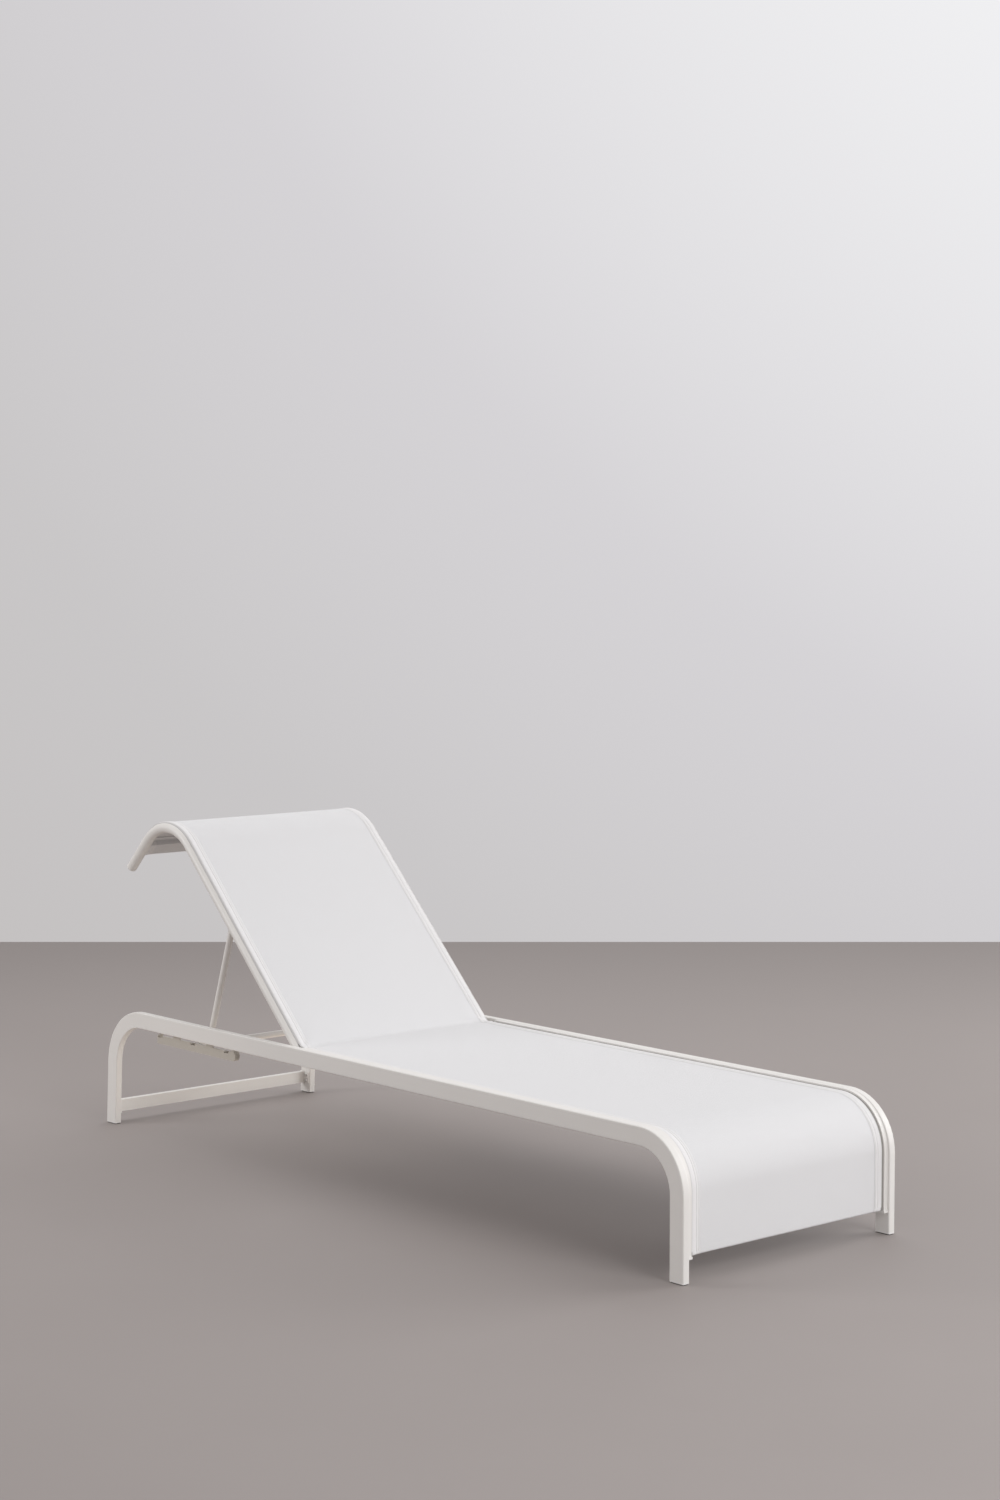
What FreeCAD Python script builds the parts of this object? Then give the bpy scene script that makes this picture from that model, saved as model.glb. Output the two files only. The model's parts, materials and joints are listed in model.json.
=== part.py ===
import FreeCAD, Part
import math
import os

# Reclining sun lounger with a tensioned textile sling. Millimetres, +Z up, +X towards the foot end,
# +Y towards the user's left. The origin is on the floor, midway between the outer faces of the legs.

# Overall
length = 2100.0
width = 640.0
seat_height = 303.0

# Side rails: one flat tube each, bent down into both legs
rail_depth = 40.0
rail_thickness = 18.0
rail_wall = 1.8
rail_edge_radius = 2.5
foot_bend_outer_radius = 127.0
head_bend_outer_radius = 147.0
head_leg_lean = 3.0

# Feet
glide_thickness = 2.0
cap_flange = 3.5
cap_spigot = 10.0

# Sling tracks on the inner faces of the rails
track_recess = 5.5
track_width = 11.0
track_depth = 14.0
track_foot_end = 54.0
track_hinge_end = -225.0
seat_sling_depth = 10.2
seat_lift = 4.7
sling_thickness = 1.0
slot_width = 2.0
keder_radius = 2.6
keder_bore = 3.0

# Backrest: round tubes that curl back over the head end
backrest_angle = 45.0
hinge_x = -262.0
hinge_z = 285.0
backrest_tube_radius = 13.0
backrest_tube_wall = 1.8
backrest_tube_gap = 3.0
backrest_straight = 643.0
curl_radius = 128.0
curl_tail = 106.0
heel_overhang = 16.0
backrest_sling_rise = 13.9
backrest_groove_rise = 6.8
backrest_groove_offset = 4.6
backrest_sling_start = 15.0
backrest_sling_tail = 61.0

# Prop that holds the backrest up, and its notched racks
prop_pivot_along = 426.4
prop_pivot_drop = 14.8
prop_tube_radius = 8.0
prop_tube_wall = 1.5
prop_arm_offset = 252.0
prop_reach = 286.5
prop_overhang = 9.0
middle_notch_x = -685.0
notch_centre_z = 246.0
notch_pitch = 142.0
notch_play = 0.6
rack_inner = 288.0
rack_plate = 12.0
rack_top = 250.0
rack_bottom = 231.0
rack_screw_z = 270.0
rack_cover_top = 252.0
rack_dip_width = 19.0
rack_dip_depth = 5.5

# Crossbars
spreader_places = {"rear": -205.0, "middle": 330.0, "foot": 905.0}
spreader_width = 30.0
spreader_depth = 18.0
flange_plate = 3.0
head_bar_height = 30.0
head_bar_thickness = 15.0
head_bar_centre_z = 42.0

# Fasteners
bolt_radius = 3.0
bolt_head_radius = 5.5
bolt_head_height = 3.5
bolt_hole_radius = 3.2
bolt_length = 16.0
socket_across_flats = 3.0
hinge_bolt_radius = 4.0
running_clearance = 0.06
side_gap = 0.3

# Derived places
rail_inner = width / 2 - rail_thickness
rail_centre = width / 2 - rail_thickness / 2
rail_axis_depth = rail_depth / 2
sole = glide_thickness + cap_flange
foot_leg_x = length / 2 - rail_axis_depth
head_leg_x = -length / 2 + rail_axis_depth
tube_centre = rail_inner - backrest_tube_gap - backrest_tube_radius
tube_inner = tube_centre - backrest_tube_radius
track_inner = rail_inner - track_width
hinge = FreeCAD.Vector(hinge_x, 0, hinge_z)
Y_AXIS = FreeCAD.Vector(0, 1, 0)
Z_AXIS = FreeCAD.Vector(0, 0, 1)
ORIGIN = FreeCAD.Vector(0, 0, 0)


# Helpers

def bent_path(corners, radii, y=0.0):
    """Wire through (x, z) corners in one side plane, each inner corner rounded to its radius."""
    points = [FreeCAD.Vector(x, y, z) for x, z in corners]
    edges = []
    start = points[0]
    for before, corner, after, radius in zip(points, points[1:], points[2:], radii):
        towards = (corner - before).normalize()
        away = (after - corner).normalize()
        inwards = (away - towards).normalize()
        half_turn = towards.getAngle(away) / 2
        setback = radius * math.tan(half_turn)
        bend_start = corner - towards * setback
        bend_middle = corner + inwards * radius * (1 / math.cos(half_turn) - 1)
        bend_end = corner + away * setback
        edges.append(Part.makeLine(start, bend_start))
        edges.append(Part.Arc(bend_start, bend_middle, bend_end).toShape())
        start = bend_end
    edges.append(Part.makeLine(start, points[-1]))
    return Part.Wire(edges)


def rounded_rectangle(size_x, size_y, radius):
    """Flat face round the origin in the XY plane."""
    corners = [(1, 1), (-1, 1), (-1, -1), (1, -1)]
    arcs = []
    for quarter, (side_x, side_y) in enumerate(corners):
        centre = FreeCAD.Vector(side_x * (size_x / 2 - radius), side_y * (size_y / 2 - radius), 0)
        arcs.append(Part.makeCircle(radius, centre, Z_AXIS, 90 * quarter, 90 * quarter + 90))
    edges = []
    for arc, following in zip(arcs, arcs[1:] + arcs[:1]):
        edges += [arc, Part.makeLine(arc.Vertexes[-1].Point, following.Vertexes[0].Point)]
    return Part.Face(Part.Wire(edges))


def disc(radius, x=0.0, y=0.0):
    return Part.Face(Part.Wire(Part.makeCircle(radius, FreeCAD.Vector(x, y, 0))))


def rectangle(low_x, high_x, low_y, high_y):
    return Part.makePlane(high_x - low_x, high_y - low_y, FreeCAD.Vector(low_x, low_y, 0))


def box(x, y, z):
    """Box between the two values of each of x, y and z."""
    sizes = [high - low for low, high in (x, y, z)]
    return Part.makeBox(*sizes, FreeCAD.Vector(x[0], y[0], z[0]))


def rod(radius, low_y, high_y, x, z):
    """Cylinder along Y."""
    return Part.makeCylinder(radius, high_y - low_y, FreeCAD.Vector(x, low_y, z), Y_AXIS)


def tube(radius, bore, low_y, high_y, x, z):
    return rod(radius, low_y, high_y, x, z).cut(rod(bore, low_y, high_y, x, z))


def sweep(section, path):
    """Solid that carries a face along a path and keeps the hollow inside it."""
    body = path.makePipeShell([section.OuterWire], True, False)
    for wire in section.Wires:
        if not wire.isSame(section.OuterWire):
            body = body.cut(path.makePipeShell([wire], True, False))
    return body


def mirrored(shape):
    return shape.mirror(ORIGIN, Y_AXIS)


def both_sides(*shapes):
    """One group of the given left-hand solids and their right-hand twins."""
    return Part.makeCompound([*shapes, *(mirrored(shape) for shape in shapes)])


def on_backrest(shape):
    """Place a shape drawn on the flat backrest, with the hinge at the origin and the head at -X."""
    return shape.rotated(ORIGIN, Y_AXIS, backrest_angle).translated(hinge)


def save(name, shape):
    os.makedirs("parts", exist_ok=True)
    shape.exportStep(f"parts/{name}.step")


def save_pair(name, left):
    save(f"{name}_left", left)
    save(f"{name}_right", mirrored(left))


# Fasteners, drawn along +Y with the underside of the head at the origin

def socket_bolt(shank_radius, shank_length, head_radius, head_height):
    head = Part.makeCylinder(head_radius, head_height, ORIGIN, -Y_AXIS)
    crown = [edge for edge in head.Edges if abs(edge.CenterOfMass.y + head_height) < 1e-6]
    head = head.makeFillet(head_height * 0.85, crown)
    corner_radius = socket_across_flats / math.sqrt(3)
    turns = [math.radians(60 * corner) for corner in range(7)]
    hexagon = Part.makePolygon([FreeCAD.Vector(corner_radius * math.cos(turn), -head_height,
                                               corner_radius * math.sin(turn)) for turn in turns])
    socket = Part.Face(hexagon).extrude(Y_AXIS * head_height * 0.5)
    return head.cut(socket).fuse(Part.makeCylinder(shank_radius, shank_length, ORIGIN, Y_AXIS))


def frame_bolt(x, y, z):
    """Bolt that goes outwards into the left rail."""
    bolt = socket_bolt(bolt_radius, bolt_length, bolt_head_radius, bolt_head_height)
    return bolt.translated(FreeCAD.Vector(x, y, z))


def insert_nut(bore, x, z):
    """Blind threaded insert behind the inner wall of the left rail."""
    back_of_wall = rail_inner + rail_wall
    return tube(bore + 1.4, bore, back_of_wall, back_of_wall + 9.0, x, z)


# Frame

def rail_profile():
    outer = rounded_rectangle(rail_depth, rail_thickness, rail_edge_radius)
    hollow = rounded_rectangle(rail_depth - 2 * rail_wall, rail_thickness - 2 * rail_wall,
                               rail_edge_radius - rail_wall)
    return outer.cut(hollow).Faces[0]


def head_leg_centre(z):
    """X of the leaning head leg's axis at a height."""
    return head_leg_x + (z - sole) * math.tan(math.radians(head_leg_lean))


def side_rail(holes):
    axis_z = seat_height - rail_axis_depth
    below = sole - 10.0
    corners = [(foot_leg_x, below), (foot_leg_x, axis_z),
               (head_leg_centre(axis_z), axis_z), (head_leg_centre(below), below)]
    radii = [foot_bend_outer_radius - rail_axis_depth, head_bend_outer_radius - rail_axis_depth]
    section = rail_profile().translated(FreeCAD.Vector(foot_leg_x, rail_centre, below))
    rail = sweep(section, bent_path(corners, radii, rail_centre))
    floor_cut = box((-length, length), (0, width), (-rail_depth, sole))
    return rail.cut([floor_cut, *holes])


def foot_centres():
    return [foot_leg_x, head_leg_x]


def foot_cap(x):
    flange = rounded_rectangle(rail_depth, rail_thickness, rail_edge_radius)
    spigot = rounded_rectangle(rail_depth - 5.5, rail_thickness - 4.5, 1.0)
    body = flange.extrude(Z_AXIS * cap_flange).fuse(spigot.extrude(Z_AXIS * (cap_flange + cap_spigot)))
    return body.translated(FreeCAD.Vector(x, rail_centre, glide_thickness))


def foot_glide(x):
    pad = rounded_rectangle(rail_depth - 4, rail_thickness - 3, 2.0).extrude(Z_AXIS * glide_thickness)
    return pad.translated(FreeCAD.Vector(x, rail_centre, 0))


# Sling and its tracks. The seat path runs up the foot bend and along to the hinge.

def seat_path(depth, y, foot_end, hinge_end=track_hinge_end):
    """Path at a depth inside the outer face of the foot legs, lifted nearer the rail's top along the seat."""
    top = seat_height - depth + seat_lift
    corners = [(length / 2 - depth, foot_end), (length / 2 - depth, top), (hinge_end, top)]
    return bent_path(corners, [foot_bend_outer_radius - depth], y)


def track_section():
    """Section of the left track, as X by Y, where the foot leg stands."""
    front = length / 2 - track_recess
    slot_x = length / 2 - seat_sling_depth
    body = rectangle(front - track_depth, front, track_inner, rail_inner)
    bore = disc(keder_bore, slot_x, track_inner + 5.0)
    slot = rectangle(slot_x - slot_width / 2, slot_x + slot_width / 2, track_inner - 1, track_inner + 5.0)
    return body.cut([bore, slot]).Faces[0]


def seat_track():
    depth = track_recess + track_depth / 2
    section = track_section().translated(FreeCAD.Vector(0, 0, track_foot_end))
    path = seat_path(depth, rail_inner - track_width / 2, track_foot_end)
    return sweep(section, path)


def track_end_caps():
    """Plugs over both ends of the left track."""
    thickness = 5.0
    front = length / 2 - track_recess + 2.0
    top = seat_height - track_recess + seat_lift
    across = (track_inner - 1.0, rail_inner)
    foot_cap_body = box((front - track_depth - 2.0, front), across,
                        (track_foot_end - thickness, track_foot_end))
    hinge_cap_body = box((track_hinge_end - thickness, track_hinge_end), across,
                         (top - track_depth, top))
    return [foot_cap_body, hinge_cap_body]


def seat_keder():
    start = track_foot_end + 1.0
    centre = FreeCAD.Vector(length / 2 - seat_sling_depth, track_inner + 5.0, start)
    return sweep(disc(keder_radius).translated(centre), seat_path(seat_sling_depth, centre.y, start))


def seat_sling():
    half_width = track_inner + 5.0 - keder_radius - 0.2
    face_x = length / 2 - seat_sling_depth
    section = rectangle(face_x - sling_thickness / 2, face_x + sling_thickness / 2,
                        -half_width, half_width)
    path = seat_path(seat_sling_depth, 0, track_foot_end)
    return sweep(section.translated(Z_AXIS * track_foot_end), path)


def sling_hem_rod():
    radius = 3.0
    x = length / 2 - seat_sling_depth - sling_thickness / 2 - side_gap - radius
    reach = track_inner - 3.0
    return rod(radius, -reach, reach, x, track_foot_end + 4.0)


# Crossbars between the rails

def spreader_bolt_places(x):
    return [(x + offset, seat_height - rail_depth + spreader_depth / 2) for offset in (-23.0, 23.0)]


def spreader(x):
    """Flat crossbar with a welded flange at each end."""
    low = seat_height - rail_depth + 0.5
    reach = rail_inner - flange_plate
    bar = box((x - spreader_width / 2, x + spreader_width / 2), (-reach, reach),
              (low, low + spreader_depth))
    hollow = box((x - spreader_width / 2 + 1.5, x + spreader_width / 2 - 1.5), (-reach, reach),
                 (low + 1.5, low + spreader_depth - 1.5))
    flange = box((x - 31.0, x + 31.0), (reach, rail_inner), (low, low + spreader_depth))
    holes = [rod(bolt_hole_radius, reach, rail_inner, bolt_x, bolt_z)
             for bolt_x, bolt_z in spreader_bolt_places(x)]
    flange = flange.cut(holes)
    return bar.cut(hollow).fuse([flange, mirrored(flange)])


def head_bolt_places():
    x = head_leg_centre(head_bar_centre_z) + 8.5
    return [(x, head_bar_centre_z + offset) for offset in (-8.0, 8.0)]


def head_leg_crossbar():
    """Low crossbar between the head legs, set against the outer edge of the legs."""
    centre = head_leg_centre(head_bar_centre_z)
    low_x = centre - rail_axis_depth + 4.0
    reach = rail_inner - flange_plate
    half_height = head_bar_height / 2
    heights = (head_bar_centre_z - half_height, head_bar_centre_z + half_height)
    bar = box((low_x, low_x + head_bar_thickness), (-reach, reach), heights)
    hollow = box((low_x + 1.5, low_x + head_bar_thickness - 1.5), (-reach, reach),
                 (heights[0] + 1.5, heights[1] - 1.5))
    flange = box((low_x, centre + rail_axis_depth - 3.0), (reach, rail_inner), heights)
    flange = flange.cut([rod(bolt_hole_radius, reach, rail_inner, x, z) for x, z in head_bolt_places()])
    return bar.cut(hollow).fuse([flange, mirrored(flange)])


# Notched racks under the rails

def notch_centres():
    return [middle_notch_x + step * notch_pitch for step in (-1, 0, 1)]


def rack_screw_places():
    return [(middle_notch_x + step * notch_pitch, rack_screw_z) for step in (-0.5, 0.5)]


def prop_rack():
    """Notched plate, closed on its outer side by a thin cover that dips at each notch."""
    first, _, last = notch_centres()
    ends = (first - 14.0, last + 24.0)
    plate_across = (rack_inner, rack_inner + rack_plate)
    cover_across = (rack_inner + rack_plate, rail_inner)
    lobe_centre_z = (rack_bottom + rack_top) / 2 + 3.0
    plate = box(ends, plate_across, (rack_bottom, rack_top))
    horn = rod(5.0, *plate_across, ends[0] + 5.0, rack_top)
    cover = box(ends, cover_across, (rack_bottom, rack_cover_top))
    notch_radius = prop_tube_radius + notch_play
    notches = []
    dips = []
    for x in notch_centres():
        notches.append(rod(notch_radius, *plate_across, x, notch_centre_z))
        notches.append(box((x - notch_radius, x + notch_radius), plate_across,
                           (notch_centre_z, rack_top + 20)))
        dips.append(box((x - rack_dip_width / 2, x + rack_dip_width / 2), cover_across,
                        (rack_cover_top - rack_dip_depth, rack_cover_top)))
    lobe = rod(13.0, rack_inner, rail_inner, ends[1], lobe_centre_z)
    rack = plate.fuse([lobe, horn]).cut(notches).fuse(cover.cut(dips))
    tabs = []
    tab_across = (rail_inner - flange_plate, rail_inner)
    for x, z in rack_screw_places():
        tab = box((x - 14.0, x + 14.0), tab_across, (rack_cover_top - 6.0, z + 6.0))
        tabs.append(tab.cut(rod(bolt_hole_radius, *tab_across, x, z)))
    return rack.fuse(tabs).removeSplitter()


# Backrest, drawn flat along -X from the hinge

def backrest_path(rise, start, tail, y):
    """Path at a height above the tube axis, from start (-X) round the curl and down its tail."""
    end_x = -backrest_straight - curl_radius - rise
    corners = [(-start, rise), (end_x, rise), (end_x, -curl_radius - tail)]
    return bent_path(corners, [curl_radius + rise], y)


def stood_up(section, x):
    """Turn a section from the XY plane, as height by Y, into the plane across the tube at x."""
    return section.rotated(ORIGIN, Y_AXIS, -90).translated(FreeCAD.Vector(x, 0, 0))


def backrest_keder_centre():
    """Height and Y of the sling groove in the left tube."""
    return backrest_groove_rise, tube_centre + backrest_groove_offset


def backrest_tube_section():
    rise, groove_y = backrest_keder_centre()
    wall = disc(backrest_tube_radius, 0, tube_centre)
    channel = disc(keder_bore + 1.6, rise, groove_y).common(wall)
    shell = wall.cut(disc(backrest_tube_radius - backrest_tube_wall, 0, tube_centre))
    slot = rectangle(rise, backrest_tube_radius + 1, groove_y - slot_width / 2, groove_y + slot_width / 2)
    section = shell.fuse(channel).removeSplitter().cut([disc(keder_bore, rise, groove_y), slot])
    return section.Faces[0]


def backrest_tube():
    section = stood_up(backrest_tube_section(), heel_overhang)
    path = backrest_path(0, -heel_overhang, curl_tail, tube_centre)
    pivot_hole = rod(hinge_bolt_radius + running_clearance, 0, width / 2, 0, 0)
    return on_backrest(sweep(section, path).cut(pivot_hole))


def domed_cap():
    """Rounded plug for the end of a left backrest tube, drawn pointing down."""
    flange = Part.makeCylinder(backrest_tube_radius, 4.0, ORIGIN, -Z_AXIS)
    rim = [edge for edge in flange.Edges if abs(edge.CenterOfMass.z + 4.0) < 1e-6]
    spigot = Part.makeCylinder(3.0, 10.0, FreeCAD.Vector(3.0, -3.0, 0), Z_AXIS)
    return flange.makeFillet(3.0, rim).fuse(spigot)


def tip_cap():
    x = -backrest_straight - curl_radius
    return on_backrest(domed_cap().translated(FreeCAD.Vector(x, tube_centre, -curl_radius - curl_tail)))


def heel_cap():
    cap = domed_cap().rotated(ORIGIN, Y_AXIS, -90)
    return on_backrest(cap.translated(FreeCAD.Vector(heel_overhang, tube_centre, 0)))


def backrest_keder():
    rise, groove_y = backrest_keder_centre()
    start = backrest_sling_start - 3.0
    section = stood_up(disc(keder_radius - 0.1, rise, groove_y), -start)
    return on_backrest(sweep(section, backrest_path(rise, start, backrest_sling_tail, groove_y)))


def backrest_sling():
    rise = backrest_sling_rise
    half_width = backrest_keder_centre()[1] - slot_width / 2
    face = rectangle(rise - sling_thickness / 2, rise + sling_thickness / 2, -half_width, half_width)
    path = backrest_path(rise, backrest_sling_start, backrest_sling_tail, 0)
    return on_backrest(sweep(stood_up(face, -backrest_sling_start), path))


def backrest_crossbar(low_along, high_along, low_rise, high_rise):
    """Flat crossbar between the backrest tubes, its ends coped to fit them."""
    bar = box((-high_along, -low_along), (-tube_centre, tube_centre), (low_rise, high_rise))
    hollow = box((-high_along + 1.5, -low_along - 1.5), (-tube_centre, tube_centre),
                 (low_rise + 1.5, high_rise - 1.5))
    long_tube = Part.makeCylinder(backrest_tube_radius, 4 * backrest_straight,
                                  FreeCAD.Vector(backrest_straight, tube_centre, 0),
                                  FreeCAD.Vector(-1, 0, 0))
    return bar.cut([hollow, long_tube, mirrored(long_tube)])


def lower_crossbar():
    return on_backrest(backrest_crossbar(38.0, 62.0, -9.0, 1.0))


def middle_crossbar():
    return on_backrest(backrest_crossbar(441.0, 465.0, -9.0, 1.0))


def head_crossbar():
    """Flat crossbar across the curl's tail, inside the end of the sling."""
    bar = backrest_crossbar(27.0, 61.0, 2.4, 12.2)
    bar = bar.rotated(ORIGIN, Y_AXIS, -90)
    return on_backrest(bar.translated(FreeCAD.Vector(-backrest_straight - curl_radius, 0, -curl_radius)))


# Prop. Its pivot on the flat backrest:
prop_pivot_flat = FreeCAD.Vector(-prop_pivot_along, 0, -prop_pivot_drop)


def rotated_to_world(point):
    return FreeCAD.Rotation(Y_AXIS, backrest_angle).multVec(point) + hinge


prop_pivot = rotated_to_world(prop_pivot_flat)
prop_foot = FreeCAD.Vector(middle_notch_x, 0, notch_centre_z)
prop_length = (prop_pivot - prop_foot).Length
prop_lean = math.degrees(math.atan2(prop_pivot.x - prop_foot.x, prop_pivot.z - prop_foot.z))


def on_prop(shape):
    """Place a shape drawn hanging straight down from the prop pivot at the origin."""
    return shape.rotated(ORIGIN, Y_AXIS, prop_lean).translated(prop_pivot)


def prop_bracket():
    """Two ears welded to the middle crossbar, with the arm's upper end between them."""
    ears = []
    for inner in (prop_arm_offset - 12.0, prop_arm_offset + 9.0):
        across = (inner, inner + 3.0)
        plate = box((-465.0, -prop_pivot_along), across, (-prop_pivot_drop - 9.0, -9.0))
        nose = rod(9.0, *across, prop_pivot_flat.x, prop_pivot_flat.z)
        hole = rod(bolt_radius + running_clearance, *across, prop_pivot_flat.x, prop_pivot_flat.z)
        notch = box((-441.0, 0), across, (-9.0, 20.0))
        ears.append(plate.fuse(nose).cut([hole, notch]))
    bridge = box((-465.0, -444.0), (prop_arm_offset - 12.0, prop_arm_offset + 12.0), (-11.5, -9.0))
    return on_backrest(ears[0].fuse([ears[1], bridge]))


def prop_pivot_bolt():
    bolt = socket_bolt(bolt_radius, 30.0, bolt_head_radius, bolt_head_height)
    return on_backrest(bolt.translated(prop_pivot_flat + Y_AXIS * (prop_arm_offset - 12.0)))


def prop_pivot_nut():
    turns = [math.radians(60 * corner) for corner in range(7)]
    hexagon = Part.makePolygon([FreeCAD.Vector(5.5 * math.cos(turn), 0, 5.5 * math.sin(turn))
                                for turn in turns])
    nut = Part.Face(hexagon).extrude(Y_AXIS * 5.0).cut(rod(bolt_radius, 0, 5.0, 0, 0))
    return on_backrest(nut.translated(prop_pivot_flat + Y_AXIS * (prop_arm_offset + 12.0)))


def prop_washers():
    """Thin washers between the arm and the ears."""
    thickness = 0.6
    places = (prop_arm_offset - 9.0, prop_arm_offset + 9.0 - thickness)
    return [on_backrest(tube(7.0, bolt_radius + running_clearance, y, y + thickness,
                             prop_pivot_flat.x, prop_pivot_flat.z)) for y in places]


def prop_arm():
    """Round tube from above the pivot down to the crossbar, with its foot coped to fit."""
    reach = prop_overhang + prop_length
    top = FreeCAD.Vector(0, prop_arm_offset, prop_overhang)
    outer = Part.makeCylinder(prop_tube_radius, reach, top, -Z_AXIS)
    bore = Part.makeCylinder(prop_tube_radius - prop_tube_wall, reach, top, -Z_AXIS)
    pivot_hole = rod(bolt_radius + running_clearance, 0, width / 2, 0, 0)
    cope = rod(prop_tube_radius, 0, width / 2, 0, -prop_length)
    return on_prop(outer.cut([bore, pivot_hole, cope]))


def prop_arm_plug():
    """Domed plug in the upper end of the arm."""
    dome = Part.makeCylinder(prop_tube_radius, 2.5, FreeCAD.Vector(0, prop_arm_offset, prop_overhang))
    rim = [edge for edge in dome.Edges if abs(edge.CenterOfMass.z - prop_overhang - 2.5) < 1e-6]
    spigot = Part.makeCylinder(prop_tube_radius - prop_tube_wall, 4.0,
                               FreeCAD.Vector(0, prop_arm_offset, prop_overhang - 4.0))
    return on_prop(dome.makeFillet(2.0, rim).fuse(spigot))


def prop_crossbar():
    end = prop_reach - 3.0
    return on_prop(tube(prop_tube_radius, prop_tube_radius - prop_tube_wall, -end, end, 0, -prop_length))


def prop_crossbar_plug():
    end = prop_reach - 3.0
    flange = rod(prop_tube_radius, end, prop_reach, 0, -prop_length)
    spigot = rod(prop_tube_radius - prop_tube_wall, end - 10.0, end, 0, -prop_length)
    return on_prop(flange.fuse(spigot))


# Backrest hinge, fixed to the rails

def hinge_bolt():
    head_seat = tube_inner - side_gap
    bolt = socket_bolt(hinge_bolt_radius, rail_inner + 12.0 - head_seat, 6.5, 4.0)
    return bolt.translated(hinge + Y_AXIS * head_seat)


def hinge_washer():
    return tube(10.0, hinge_bolt_radius, rail_inner - backrest_tube_gap + side_gap, rail_inner,
                hinge_x, hinge_z)


# Build

frame_bolt_places = [place for x in spreader_places.values() for place in spreader_bolt_places(x)]
frame_bolt_places += head_bolt_places()
rail_holes = [rod(bolt_hole_radius, rail_inner - 1, rail_centre, x, z)
              for x, z in frame_bolt_places + rack_screw_places()]
rail_holes.append(rod(hinge_bolt_radius + 0.2, rail_inner - 1, rail_centre, hinge_x, hinge_z))

save_pair("side_rail", side_rail(rail_holes))
save("foot_caps", both_sides(*(foot_cap(x) for x in foot_centres())))
save("foot_glides", both_sides(*(foot_glide(x) for x in foot_centres())))
save_pair("seat_track", seat_track())
save("track_end_caps", both_sides(*track_end_caps()))
save("seat_keder_rods", both_sides(seat_keder()))
save("seat_sling", seat_sling())
save("sling_hem_rod", sling_hem_rod())

for place, x in spreader_places.items():
    save(f"seat_spreader_{place}", spreader(x))
save("head_leg_crossbar", head_leg_crossbar())
flange_face = rail_inner - flange_plate
save("crossbar_bolts", both_sides(*(frame_bolt(x, flange_face, z) for x, z in frame_bolt_places)))
save_pair("prop_rack", prop_rack())
save("rack_screws", both_sides(*(frame_bolt(x, flange_face, z) for x, z in rack_screw_places())))
save("rail_insert_nuts", both_sides(*(insert_nut(bolt_radius, x, z)
                                      for x, z in frame_bolt_places + rack_screw_places())))

save("hinge_bolts", both_sides(hinge_bolt()))
save("hinge_washers", both_sides(hinge_washer()))
save("hinge_insert_nuts", both_sides(insert_nut(hinge_bolt_radius, hinge_x, hinge_z)))

save_pair("backrest_tube", backrest_tube())
save("backrest_tip_caps", both_sides(tip_cap()))
save("backrest_heel_caps", both_sides(heel_cap()))
save("backrest_keder_rods", both_sides(backrest_keder()))
save("backrest_sling", backrest_sling())
save("backrest_lower_crossbar", lower_crossbar())
save("backrest_middle_crossbar", middle_crossbar())
save("backrest_head_crossbar", head_crossbar())

save_pair("prop_bracket", prop_bracket())
save("prop_pivot_bolts", both_sides(prop_pivot_bolt()))
save("prop_pivot_nuts", both_sides(prop_pivot_nut()))
save("prop_washers", both_sides(*prop_washers()))
save_pair("prop_arm", prop_arm())
save("prop_arm_plugs", both_sides(prop_arm_plug()))
save("prop_crossbar", prop_crossbar())
save("prop_crossbar_plugs", both_sides(prop_crossbar_plug()))
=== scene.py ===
import json
import math

import bpy
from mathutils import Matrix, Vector, noise


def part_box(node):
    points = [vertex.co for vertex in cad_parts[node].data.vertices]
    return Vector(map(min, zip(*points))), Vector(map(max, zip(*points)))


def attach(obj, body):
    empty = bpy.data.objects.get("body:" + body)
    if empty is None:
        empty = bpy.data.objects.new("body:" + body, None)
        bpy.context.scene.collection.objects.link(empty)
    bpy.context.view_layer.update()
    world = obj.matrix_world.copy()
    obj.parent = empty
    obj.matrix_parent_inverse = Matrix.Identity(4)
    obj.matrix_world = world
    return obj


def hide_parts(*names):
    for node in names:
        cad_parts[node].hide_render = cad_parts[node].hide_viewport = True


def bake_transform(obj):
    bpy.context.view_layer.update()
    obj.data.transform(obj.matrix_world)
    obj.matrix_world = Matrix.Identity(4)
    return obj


# Looks of a reclining sun lounger with a tensioned textile sling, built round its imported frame.
# Metres, +Z up, +X towards the foot end. "Rise" is a height above the axes of the backrest tubes.

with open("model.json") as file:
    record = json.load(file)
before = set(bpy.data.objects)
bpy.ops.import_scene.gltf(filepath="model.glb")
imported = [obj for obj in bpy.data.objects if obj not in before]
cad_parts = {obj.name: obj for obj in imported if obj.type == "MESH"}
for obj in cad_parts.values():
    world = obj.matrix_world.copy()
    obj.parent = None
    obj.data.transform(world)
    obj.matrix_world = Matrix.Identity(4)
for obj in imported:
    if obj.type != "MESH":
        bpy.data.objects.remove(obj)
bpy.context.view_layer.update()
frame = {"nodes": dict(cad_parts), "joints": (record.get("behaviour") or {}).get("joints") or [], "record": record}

# Camera
camera_place = (4.845, -4.107, 1.455)
camera_heading = 48.97
camera_pitch = 4.08
focal_length = 65.38

# Backrest, as the frame holds it at rest
backrest_angle = math.radians(45.0)
backrest_straight = 0.643
tube_curl_radius = 0.128
tube_radius = 0.013
tube_centre = 0.286
sling_rise = 0.0139
backrest_groove_mouth = 0.2913
pocket_mouth = 0.2722
welded_bars = ((0.038, 0.062), (0.441, 0.465))
welded_bar_rises = (-0.009, 0.001)
head_bar_tail = (0.027, 0.061)
head_bar_rises = (0.0024, 0.0122)
prop_arm_offset = 0.252
prop_arm_radius = 0.008

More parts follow.
